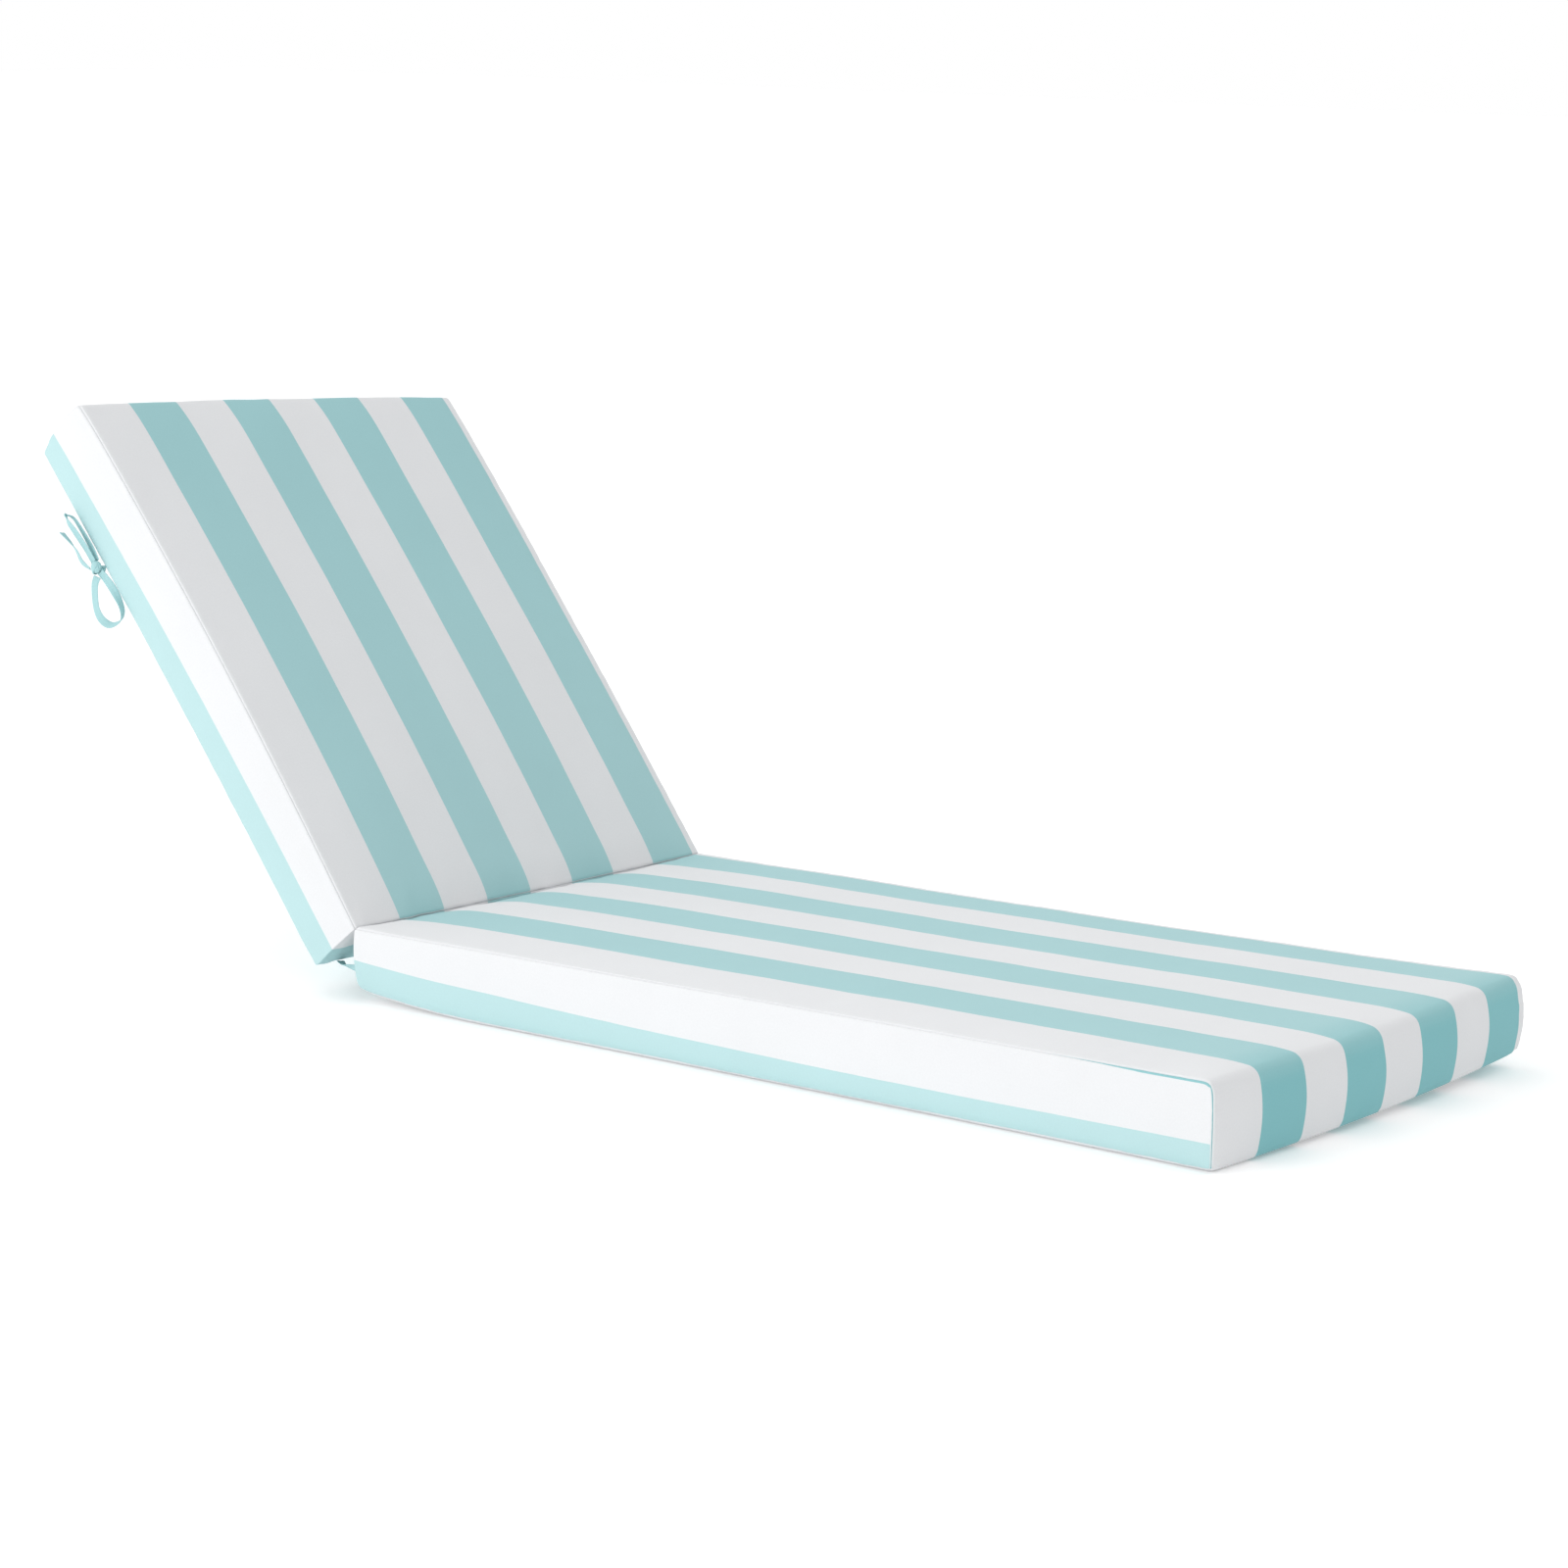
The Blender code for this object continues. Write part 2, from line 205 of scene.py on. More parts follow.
def woven(name, striped, weave_depth=0.00012):
    """Cloth with a plain weave: two sets of threads, each hiding the other in turn."""
    material = bpy.data.materials.new(name)
    material.use_nodes = True
    tree = material.node_tree
    shader = tree.nodes["Principled BSDF"]
    shader.inputs["Roughness"].default_value = 0.82
    shader.inputs["Specular IOR Level"].default_value = 0.25
    shader.inputs["Sheen Weight"].default_value = 0.12
    shader.inputs["Sheen Roughness"].default_value = 0.45

    uv = node_of(tree, "ShaderNodeUVMap", uv_map="cloth")
    apart = node_of(tree, "ShaderNodeSeparateXYZ")
    link(tree, uv.outputs[0], apart.inputs[0])
    across = math_node(tree, "MULTIPLY", apart.outputs[0], math.pi / THREAD)
    along = math_node(tree, "MULTIPLY", apart.outputs[1], math.pi / THREAD)
    warp = math_node(tree, "SINE", across)
    weft = math_node(tree, "SINE", along)
    over = math_node(tree, "MULTIPLY", warp, weft)
    height = math_node(tree, "ABSOLUTE", over)

    # Slubs: a few threads are a little thicker and lighter than the others
    slubs = node_of(tree, "ShaderNodeTexNoise", noise_dimensions="2D")
    slubs.inputs["Scale"].default_value = 420.0
    slubs.inputs["Detail"].default_value = 3.0
    link(tree, uv.outputs[0], slubs.inputs["Vector"])
    uneven = math_node(tree, "MULTIPLY", slubs.outputs[0], 1.1)
    rough = math_node(tree, "ADD", height, uneven)
    bump = node_of(tree, "ShaderNodeBump")
    bump.inputs["Strength"].default_value = 0.35
    bump.inputs["Distance"].default_value = weave_depth
    link(tree, rough, bump.inputs["Height"])
    link(tree, bump.outputs[0], shader.inputs["Normal"])

    clouds = node_of(tree, "ShaderNodeTexNoise", noise_dimensions="2D")
    clouds.inputs["Scale"].default_value = 9.0
    clouds.inputs["Detail"].default_value = 4.0
    link(tree, uv.outputs[0], clouds.inputs["Vector"])
    tone = math_node(tree, "MULTIPLY_ADD", slubs.outputs[0], 0.05)
    tone.node.inputs[2].default_value = 0.955
    worn = math_node(tree, "MULTIPLY_ADD", clouds.outputs[0], 0.04)
    worn.node.inputs[2].default_value = 0.98
    shade = math_node(tree, "MULTIPLY", tone, worn)

    colour = node_of(tree, "ShaderNodeMix", data_type="RGBA")
    colour.inputs[6].default_value = (*WHITE, 1.0)
    aqua_light_mix = node_of(tree, "ShaderNodeMix", data_type="RGBA")
    aqua_light_mix.inputs[6].default_value = (*SHADED_AQUA, 1.0)
    aqua_light_mix.inputs[7].default_value = (*LIT_AQUA, 1.0)
    aqua_light_mix.inputs[0].default_value = TAPE_LIGHT_SHARE
    link(tree, aqua_light_mix.outputs[2], colour.inputs[7])
    colour.inputs[0].default_value = 1.0
    if striped:
        count = node_of(tree, "ShaderNodeAttribute", attribute_name="stripe")
        pair = math_node(tree, "FLOORED_MODULO", count.outputs["Fac"], 2.0)
        odd = math_node(tree, "GREATER_THAN", pair, 1.0)
        link(tree, odd, colour.inputs[0])
        # Painted light and shade: a number painted on the mesh mixes the aqua between its shaded and lit tones.
        painted_light = node_of(tree, "ShaderNodeAttribute", attribute_name="painted_light")
        link(tree, painted_light.outputs["Fac"], aqua_light_mix.inputs[0])
    shaded = node_of(tree, "ShaderNodeMix", data_type="RGBA", blend_type="MULTIPLY")
    shaded.inputs[0].default_value = 1.0
    link(tree, colour.outputs[2], shaded.inputs[6])
    link(tree, shade, shaded.inputs[7])
    link(tree, shaded.outputs[2], shader.inputs["Base Color"])
    return material


striped_cloth = woven("striped cover cloth", striped=True)
aqua_cloth = woven("aqua tape", striped=False)
print("materials:", striped_cloth.name, "and", aqua_cloth.name)

# %% [markdown]
# The tie is a narrow tape of the aqua cloth, folded in on itself and stitched flat. Each stretch of the
# bow is a thin box, cut across many times, whose points are then carried onto the bow's route: how far
# up the pad, out from its side and behind it the tape runs, and how it is turned there.

# %% The bow's routes, in mm
TAPE_WIDTH = 0.009
TAPE_THICKNESS = 0.0013
LOOP_UPPER = (
    (536.6, 5.5, -3, 10), (556, 7.5, -4, 10), (577, 9.5, -3, 10), (594, 10.5, -1, 30), (601, 8.5, -1, 80),
    (599, 4.5, -3, 130), (592, 1.5, -4, 150), (573, 0.5, -5, 160), (554, 0.5, -5.5, 170), (536.6, 1.5, -4.5, 175),
)
LOOP_LOWER = (
    (520.4, 5.5, 2.5, 20), (515, 7.5, 9, 10), (503, 9.5, 16, 5), (489, 10.5, 22, 5), (476, 9.5, 23, 25),
    (466, 6.5, 19, 45), (462, 4.5, 10, 55), (463, 2.5, 2, 60), (471, 0.5, -3, 80), (483, -0.5, -4.5, 100),
    (499, -0.5, -4.5, 140), (514, 0.5, -3, 165), (523.7, 2.4, -2, 175),
)
FREE_END = (
    (533.5, 6.2, 6.0, 50), (545, 9.5, 9, 25), (558, 11.5, 7, 35), (572, 12, 9, 65), (588, 11.5, 14, 80),
)
KNOT = SimpleNamespace(along=530, out=4.5, behind=-1.5)
STRAP = ((0.0026, -0.2880, 0.0345, 5), (-0.0200, -0.2820, 0.0325, 30),
         (-0.0420, -0.2720, 0.0300, 65), (-0.0580, -0.2620, 0.0312, 88))


def smooth_route(rows, steps_each=12):
    """Points on one smooth curve through the rows, with the turn carried along as a fourth number."""
    rows = [tuple(float(number) for number in row) for row in rows]
    padded = [rows[0]] + rows + [rows[-1]]
    points = []
    for i in range(len(rows) - 1):
        a, b, c, d = padded[i:i + 4]
        for step in range(steps_each):
            t = step / steps_each
            points.append([
                0.5 * (2 * q + (r - p) * t + (2 * p - 5 * q + 4 * r - s) * t ** 2
                       + (3 * q - p - 3 * r + s) * t ** 3)
                for p, q, r, s in zip(a, b, c, d)
            ])
    points.append(list(rows[-1]))
    return points


def route_on_back(rows):
    """Rows of mm along, out, behind and degrees of turn, as points in the back pad's frame."""
    points = []
    for along, out, behind, turn in smooth_route(rows):
        place = Vector((along * MM, WIDTH / 2 + out * MM, -BACK_AT_TOP - behind * MM))
        points.append((place, math.radians(turn)))
    return points


def length_of(points):
    return sum((end - start).length for (start, _), (end, _) in zip(points, points[1:]))


print("upper loop", round(length_of(route_on_back(LOOP_UPPER)), 4), "m of tape")

# %% [markdown]
# A folded tape isn't flat through its thickness. It is fullest just inside its two edges and thinnest
# along the stitch line in the middle, so the thin box is cut lengthwise too, and each point's share of
# the thickness comes from how far across the tape it is.

# %% Tape
def tape(name, points, flat_side, to_world, width=TAPE_WIDTH, thickness=TAPE_THICKNESS, spacing=0.0016):
    """A flat tape along the points, turned by each point's angle."""
    distances = [0.0]
    for (start, _), (end, _) in zip(points, points[1:]):
        distances.append(distances[-1] + (end - start).length)
    length = distances[-1]
    half = width / 2
    low = (0.0, -half, -thickness / 2)
    high = (length, half, thickness / 2)
    lengthwise = [half * share for share in (-0.93, -0.75, -0.4, -0.12, 0.0, 0.12, 0.4, 0.75, 0.93)]
    piece = cut_box(name, low, high, (even(0.0, length, spacing), lengthwise, ()))
    flat = points_of(piece)
    for vertex in piece.data.vertices:
        distance = min(max(vertex.co.x, 0.0), length)
        i = 0
        while i < len(distances) - 2 and distances[i + 1] < distance:
            i += 1
        share = (distance - distances[i]) / (distances[i + 1] - distances[i])
        place = points[i][0].lerp(points[i + 1][0], share)
        turn = points[i][1] + (points[i + 1][1] - points[i][1]) * share
        ahead = points[min(i + 2, len(points) - 1)][0] - points[max(i - 1, 0)][0]
        ahead.normalize()
        level = ahead.cross(flat_side).normalized()
        proud = level.cross(ahead).normalized()
        wide = level * math.cos(turn) + proud * math.sin(turn)
        thick = ahead.cross(wide)
        edge = abs(vertex.co.y) / half
        full = (0.62 + 0.38 * min(edge / 0.4, 1.0)) * math.sqrt(max(1.0 - max(edge - 0.75, 0.0) ** 2 / 0.07, 0.08))
        vertex.co = to_world @ (place + wide * vertex.co.y + thick * vertex.co.z * full)
    lay_cloth(piece, np.stack([flat[:, 1] + flat[:, 2], flat[:, 0]], axis=1))
    only(piece)
    bpy.ops.object.shade_smooth()
    piece.data.materials.clear()
    piece.data.materials.append(aqua_cloth)
    return piece


NEAR_SIDE = Vector((0.0, 1.0, 0.0))
bow = {}
for name, rows in (("upper_loop", LOOP_UPPER), ("lower_loop", LOOP_LOWER), ("free_end", FREE_END)):
    bow[name] = tape("bow_" + name, route_on_back(rows), NEAR_SIDE, BACK_FRAME)
    print(name, len(bow[name].data.polygons), "faces")

# %% [markdown]
# The knot is what the crossing tapes make of each other: one turn of tape wrapped slantwise round the
# crushed ends of the loops. The crushed ends are a small soft core, and the wrap is a closed band
# round it, wider at the front and pinched at the back.

# %% Knot
KNOT_AT = Vector((KNOT.along * MM, WIDTH / 2 + KNOT.out * MM, -BACK_AT_TOP - KNOT.behind * MM))
KNOT_SLANT = math.radians(28.0)


def band(name, radii, width, lean, start, end, steps=72):
    """A strip of tape wound round the knot: radii are half its height and half its depth."""
    points = []
    for step in range(steps + 1):
        angle = start + (end - start) * step / steps
        swell = 1.0 + 0.05 * math.sin(3 * angle + lean)
        place = KNOT_AT + Vector((
            width * 0.16 * math.sin(angle) + lean * math.cos(angle),
            radii[1] * swell * math.cos(angle), radii[0] * swell * math.sin(angle),
        ))
        points.append((place, 0.0))
    return points


def wound(name, points, width, thickness, to_world):
    """Tape laid round a closed route about the pad's length, with its flat face turned outwards."""
    distances = [0.0]
    for (start, _), (end, _) in zip(points, points[1:]):
        distances.append(distances[-1] + (end - start).length)
    length = distances[-1]
    half = width / 2
    lengthwise = [half * share for share in (-0.93, -0.75, -0.4, 0.0, 0.4, 0.75, 0.93)]
    piece = cut_box(name, (0.0, -half, -thickness / 2), (length, half, thickness / 2),
                    (even(0.0, length, 0.0007), lengthwise, ()))
    flat = points_of(piece)
    for vertex in piece.data.vertices:
        distance = min(max(vertex.co.x, 0.0), length)
        i = 0
        while i < len(distances) - 2 and distances[i + 1] < distance:
            i += 1
        share = (distance - distances[i]) / (distances[i + 1] - distances[i])
        place = points[i][0].lerp(points[i + 1][0], share)
        outward = place - KNOT_AT
        outward.x = 0.0
        outward.normalize()
        ahead = (points[min(i + 2, len(points) - 1)][0] - points[max(i - 1, 0)][0]).normalized()
        wide = outward.cross(ahead).normalized()
        edge = abs(vertex.co.y) / half
        crumple = 0.0005 * noise.noise(Vector((distance * 420, vertex.co.y * 500, 3.0)))
        full = 1.0 - 0.35 * max(edge - 0.6, 0.0)
        pinch = 1.0 - 0.25 * (1.0 - abs(math.cos(math.atan2(outward.z, outward.y))))
        vertex.co = to_world @ (
            place + wide * vertex.co.y * pinch + outward * (vertex.co.z * full - 0.0011 * edge ** 3 + crumple)
        )
    lay_cloth(piece, np.stack([flat[:, 1] + flat[:, 2], flat[:, 0]], axis=1))
    only(piece)
    bpy.ops.object.shade_smooth()
    piece.data.materials.clear()
    piece.data.materials.append(aqua_cloth)
    return piece


WRAP_RADII = (0.0068, 0.0043)
knot_wrap = wound("bow_knot_wrap", band("wrap", WRAP_RADII, 0.012, 0.0016, 0.35, 0.35 + 2 * math.pi * 1.12),
                  0.0078, 0.0016, BACK_FRAME)

bpy.ops.object.select_all(action="DESELECT")
bpy.ops.mesh.primitive_uv_sphere_add(segments=48, ring_count=28, radius=1.0)
knot_core = bpy.context.object
knot_core.name = knot_core.data.name = "bow_knot_core"
core_flat = points_of(knot_core)
for vertex in knot_core.data.vertices:
    crease_depth = 1.0 + 0.10 * noise.noise(vertex.co * 2.6) + 0.05 * math.sin(9 * math.atan2(vertex.co.z, vertex.co.y))
    place = Vector((vertex.co.x * 0.0062, vertex.co.y * 0.0039, vertex.co.z * 0.0064)) * crease_depth
    vertex.co = BACK_FRAME @ (KNOT_AT + place)
lay_cloth(knot_core, core_flat[:, :2] * 0.008)
only(knot_core)
bpy.ops.object.shade_smooth()
knot_core.data.materials.append(aqua_cloth)

stem = tape("bow_stem", route_on_back(((525.0, -5.6, -3.6, 0), (527.5, -2.0, -2.0, 0), (530.0, 2.0, -1.5, 0))),
            NEAR_SIDE, BACK_FRAME)
print("knot:", len(knot_wrap.data.polygons), "faces in the wrap")

# %% [markdown]
# A filled pad is a closed box of panels: a top panel that wraps over the end, an underside, and a
# boxing strip round the sides. The filling swells each panel, and the seams hold it back, so the
# sides draw in between the corners and the top is crowned. The pad starts as a box cut into small
# squares. Its points are then moved to the filled form, row by row.

# %% The pad's filled form
SEAT = SimpleNamespace(
    length=SEAT_LENGTH, hinge_depth=SEAT_AT_HINGE, end_depth=SEAT_AT_FOOT,
    top_edge=0.013, bottom_edge=0.010, heel=0.016, slant=0.0,
    crown_across=0.003, crown_along=0.0, crown_under=0.0,
    end_roll=0.0, roll_reach=0.10, crease_dip=0.004, dip_reach=0.060,
    heel_lift=0.012, lift_reach=0.180, heel_lean=0.006,
    end_bulge=0.005, end_lean=0.0, end_bow=0.012, side_bulge=0.005, draw_in=0.003,
    far_rise=0.006, far_lift=0.013, far_pull=0.005,
)
BACK = SimpleNamespace(
    length=BACK_LENGTH, hinge_depth=BACK_AT_HINGE, end_depth=BACK_AT_TOP,
    top_edge=0.006, bottom_edge=0.010, heel=0.015, slant=0.025,
    crown_across=0.003, crown_along=0.0060, crown_under=0.003,
    end_roll=0.002, roll_reach=0.060, crease_dip=0.002, dip_reach=0.040,
    heel_lift=0.0, lift_reach=0.180, heel_lean=-0.005,
    end_bulge=0.005, end_lean=0.014, end_bow=0.004, side_bulge=0.005, draw_in=0.003,
    far_rise=0.0, far_lift=0.0, far_pull=0.0,
)
SEAM_EDGE = 0.0032
SIDE_UNDER = 0.013
CREASE_EDGE = 0.0035
PAST_CREASE = 0.0004
BULGE_REACH = 0.050
BOW_REACH = 0.160
FAR_REACH = 0.160


def round_corner(first, second, radius):
    """Moves a point of a square corner onto a round one; both numbers are depths inside a face."""
    past_first = max(radius - first, 0.0)
    past_second = max(radius - second, 0.0)
    if not past_first or not past_second:
        return first, second
    shrink = max(past_first, past_second) / math.hypot(past_first, past_second)
    return radius - past_first * shrink, radius - past_second * shrink


def fade(distance, reach):
    """1 at no distance, falling smoothly to 0 at the reach."""
    return max(1.0 - distance / reach, 0.0) ** 2


def pad_point(co, pad):
    """Where a point of the pad's square box goes on the filled pad."""
    share = (co.x + PAST_CREASE) / (pad.length + PAST_CREASE)
    from_hinge = co.x + PAST_CREASE
    from_end = pad.length - co.x
    from_side = WIDTH / 2 - abs(co.y)
    depth = -co.z
    height = pad.end_depth - depth
    across = abs(co.y) / (WIDTH / 2)
    if share < 0.5:
        from_hinge, depth = round_corner(from_hinge, depth, CREASE_EDGE)
        from_hinge, height = round_corner(from_hinge, height, pad.heel)
        x = from_hinge - PAST_CREASE
    else:
        from_end, depth = round_corner(from_end, depth, pad.top_edge)
        from_end, height = round_corner(from_end, height, pad.bottom_edge)
        x = pad.length - from_end
    if depth < height:
        height = pad.end_depth - depth
        from_side, depth = round_corner(from_side, depth, SEAM_EDGE)
    else:
        depth = pad.end_depth - height
        from_side, height = round_corner(from_side, height, SIDE_UNDER)
        depth = pad.end_depth - height
    y = math.copysign(WIDTH / 2 - from_side, co.y)
    down = min(max(depth / pad.end_depth, 0.0), 1.0)
    bulge = math.sin(math.pi * down)
    along = min(max(x / pad.length, 0.0), 1.0)
    y += math.copysign(pad.side_bulge * bulge * fade(from_side, BULGE_REACH), co.y)
    y *= 1.0 - pad.draw_in / (WIDTH / 2) * math.sin(math.pi * along)
    x += pad.end_bulge * bulge * fade(pad.length - x, BULGE_REACH)
    x -= pad.end_lean * down * fade(pad.length - x, BULGE_REACH)
    x += pad.heel_lean * down * fade(x, BULGE_REACH)
    flat_across = 1.0 - across ** 4
    top = pad.crown_across * flat_across * (1.0 - fade(x, pad.dip_reach))
    top += pad.crown_along * math.sin(math.pi * along)
    top -= pad.end_roll * fade(pad.length - x, pad.roll_reach)
    top -= pad.crease_dip * (1.0 - across ** 2) * fade(x, pad.dip_reach)
    under = pad.heel_lift * fade(x, pad.lift_reach)
    under -= pad.crown_under * flat_across * math.sin(math.pi * along)
    far = 0.5 + co.y / WIDTH
    top += pad.far_rise * far ** 2 * along ** 3
    under += pad.far_lift * far * fade(pad.length - x, FAR_REACH)
    x -= pad.far_pull * far ** 3 * fade(pad.length - x, FAR_REACH)
    deepest = pad.hinge_depth + (pad.end_depth - pad.hinge_depth) * along
    z = -down * deepest + top * (1.0 - down) + under * down
    x -= pad.end_bow * across ** 2 * fade(pad.length - x, BOW_REACH)
    x *= 1.0 + pad.slant * y / (WIDTH / 2)
    return Vector((x, y, z))


# %% [markdown]
# Close rows of cuts beside each seam and round each rolled edge give the cloth something to bend at.
# Everywhere else the squares are about 10 mm. Each point also keeps its place in the square box, in an
# attribute called box, because it says later which panel a point is on and how far from each seam.

# %% Build the two boxes
SPACING = 0.0098


def rows_between(start, end, close_start, close_end):
    """Cuts from one end to the other: the close ones by each end, then an even spacing between."""
    first = [start + step for step in close_start]
    last = [end - step for step in reversed(close_end)]
    return first + even(first[-1], last[0], SPACING) + last


def make_pad(name, pad):
    half = WIDTH / 2
    turn = [pad.top_edge * share for share in (0.1, 0.28, 0.5, 0.75, 1.0)]
    along = rows_between(-PAST_CREASE, pad.length, (0.0012, 0.003, 0.005, 0.008, 0.013, 0.020), turn)
    across = rows_between(-half, half, (0.0014, 0.0034, 0.0065, 0.012), (0.0014, 0.0034, 0.0065, 0.012))
    down = rows_between(-pad.end_depth, 0.0, (0.0016, 0.0045, 0.009, 0.016), (0.0014, 0.0034, 0.0065, 0.012))
    piece = cut_box(name, (-PAST_CREASE, -half, -pad.end_depth), (pad.length, half, 0.0), (along, across, down))
    square = points_of(piece)
    box = piece.data.attributes.new("box", "FLOAT_VECTOR", "POINT")
    box.data.foreach_set("vector", square.astype(np.float32).ravel())
    for vertex in piece.data.vertices:
        vertex.co = pad_point(vertex.co, pad)
    return piece


seat_pad = make_pad("seat_cushion", SEAT)
back_pad = make_pad("back_cushion", BACK)
for piece in (seat_pad, back_pad):
    print(piece.name, len(piece.data.polygons), "faces before it is filled")

# %% [markdown]
# Filling is what makes a cushion look soft, so the cloth is blown up a little by Blender's Cloth
# modifier: pressure inside, no gravity, and slightly more cloth than the form needs, which
# gathers into small ripples. The seams, the crease and whatever it lies on are pinned. Each point may
# move only a few millimetres, so that the pad keeps its size.

# %% Fill the pads
PRESSURE = 4.0
SPARE_CLOTH = -0.004
FRAMES = 20


def seam_distances(box, pad):
    """How far each point is from the seams, along the surface, by its place in the square box."""
    half = WIDTH / 2
    from_side = half - np.abs(box[:, 1])
    depth = -box[:, 2]
    height = pad.end_depth - depth
    from_end = pad.length - box[:, 0]
    from_hinge = box[:, 0] + PAST_CREASE
    return SimpleNamespace(
        top=from_side + depth, bottom=from_side + height, corner=from_side + from_end,
        hinge=from_hinge + depth, from_hinge=from_hinge, from_side=from_side, depth=depth,
        height=height, from_end=from_end,
    )


def box_of(piece):
    box = np.empty(len(piece.data.vertices) * 3, dtype=np.float32)
    piece.data.attributes["box"].data.foreach_get("vector", box)
    return box.reshape(-1, 3).astype(float)


def fill(piece, pad, share, most, rests):
    """Blows the pad up with cloth pressure, keeps a share of it and at most a few mm at any point."""
    before = points_of(piece)
    away = seam_distances(box_of(piece), pad)
    held = (away.top < 0.0012) | (away.bottom < 0.0012) | (away.corner < 0.0012) | (away.from_hinge < 0.0012)
    if rests:
        held |= away.height < 0.0004
    group = piece.vertex_groups.new(name="sewn")
    group.add([int(i) for i in np.flatnonzero(held)], 1.0, "REPLACE")
    only(piece)
    modifier = piece.modifiers.new("Filling", "CLOTH")
    cloth = modifier.settings
    cloth.quality = 6
    cloth.mass = 0.3
    cloth.tension_stiffness = 25.0
    cloth.compression_stiffness = 12.0
    cloth.shear_stiffness = 6.0
    cloth.bending_stiffness = 1.2
    cloth.use_pressure = True
    cloth.uniform_pressure_force = PRESSURE
    cloth.vertex_group_mass = "sewn"
    cloth.shrink_min = SPARE_CLOTH
    cloth.effector_weights.gravity = 0.0
    modifier.point_cache.frame_start = 1
    modifier.point_cache.frame_end = FRAMES
    for step in range(1, FRAMES + 1):
        bpy.context.scene.frame_set(step)
    bpy.ops.object.modifier_apply(modifier=modifier.name)
    bpy.context.scene.frame_set(1)
    moved = points_of(piece) - before
    reach = np.linalg.norm(moved, axis=1)
    print(piece.name, "cloth moved", round(float(reach.mean()) * 1000, 2), "mm on average,",
          round(float(reach.max()) * 1000, 2), "mm at most")
    keep = np.where(reach > 1e-9, most * np.tanh(share * reach / most) / np.maximum(reach, 1e-9), 0.0)
    keep *= 1.0 - np.exp(-(away.from_hinge / 0.10) ** 2)
    set_points(piece, before + moved * keep[:, None])
    piece.vertex_groups.clear()


fill(seat_pad, SEAT, 0.25, 0.003, rests=True)
fill(back_pad, BACK, 0.15, 0.003, rests=False)
for piece in (seat_pad, back_pad):
    apply_modifier(piece, "SUBSURF", levels=1, render_levels=1)
    print(piece.name, len(piece.data.polygons), "faces after one subdivision")

# %% [markdown]
# Sewing leaves its own marks. A seam is a narrow groove, because the stitches pull both panels in. On
# each side of it the cloth gathers into short puckers, and where the back is folded up against the seat
# the spare cloth makes soft folds that fade out along the pad. These are small moves of the finished
# mesh along its own normals, so they show in its outline as well as in its shading.

# %% Seams, puckers and soft folds
def ripple(along, across, size, seed):
    """A smooth number between about -1 and 1 that changes over the given size along a seam."""
    return noise.noise(Vector((along / size, across / (size * 3.0), seed)))


def sew(piece, pad, seed, near_sign):
    """Seam grooves, puckers beside them, folds by the crease and a slightly uneven filling."""
    box = box_of(piece)
    away = seam_distances(box, pad)
    normals = np.empty(len(piece.data.vertices) * 3)
    piece.data.vertices.foreach_get("normal", normals)
    normals = normals.reshape(-1, 3)
    half = WIDTH / 2
    groove = 0.0016 * (np.exp(-(away.top / 0.0014) ** 2) + 0.6 * np.exp(-(away.bottom / 0.0014) ** 2))
    groove += 0.0016 * np.exp(-(away.corner / 0.0014) ** 2) * (away.height > 0.006)
    move = -groove
    for i, (x, y, z) in enumerate(box):
        top = away.top[i]
        lump = 0.0
        if top < 0.06:
            lump += 0.00055 * ripple(x, top, 0.016, seed) * math.exp(-top / 0.014)
            lump += 0.00035 * ripple(x, top, 0.0075, seed + 2) * math.exp(-top / 0.006)
        if away.bottom[i] < 0.05 and away.height[i] > 0.0005:
            lump += 0.0006 * ripple(x, away.bottom[i], 0.022, seed + 4) * math.exp(-away.bottom[i] / 0.014)
        if away.corner[i] < 0.08:
            lump += 0.0019 * ripple(z, away.corner[i], 0.011, seed + 6) * math.exp(-away.corner[i] / 0.012)
        if away.from_hinge[i] < 0.20 and away.height[i] > 0.0005:
            near = 0.5 + 0.5 * y * near_sign / half
            fold = ripple(y + x * 0.25, x, 0.020, seed + 8) * math.exp(-away.from_hinge[i] / 0.035)
            long_fold = ripple(y + x * 0.5 * near_sign, x * 0.5, 0.034, seed + 9)
            lump += 0.0010 * fold * (0.5 + near) + 0.0011 * near * long_fold * math.exp(-away.from_hinge[i] / 0.075)
        if away.height[i] > 0.0005:
            lump += 0.0010 * noise.noise(Vector((x / 0.16, y / 0.12, z / 0.12 + seed)))
            lump += 0.0003 * noise.noise(Vector((x / 0.05, y / 0.04, z / 0.04 + seed + 3)))
        move[i] += lump
    set_points(piece, points_of(piece) + normals * move[:, None])


sew(seat_pad, SEAT, 11.0, near_sign=-1.0)
sew(back_pad, BACK, 37.0, near_sign=1.0)
print("sewn:", seat_pad.name, "and", back_pad.name)

# %% [markdown]
# The stripes run along both pads and over the foot end without a break, because the top panels are one
# length of cloth. The boxing strip is cut from the same cloth, so it is white above and aqua below, and
# the line between the two sinks towards the foot. Each corner of each face gets its place counted in
# stripes: whole odd numbers begin an aqua stripe.

# %% Stripes
SEAT_BOUNDARY = ((0.0, 0.54), (2.7, 0.61), (4.0, 0.67), (5.4, 0.72), (6.8, 0.75), (8.6, 0.79), (11.5, 0.82), (16.0, 0.82))
BACK_BOUNDARY = ((0.0, 0.55), (9.4, 0.72))
SLIVER_FROM = 0.80
SLIVER_WIDTH = 0.0036


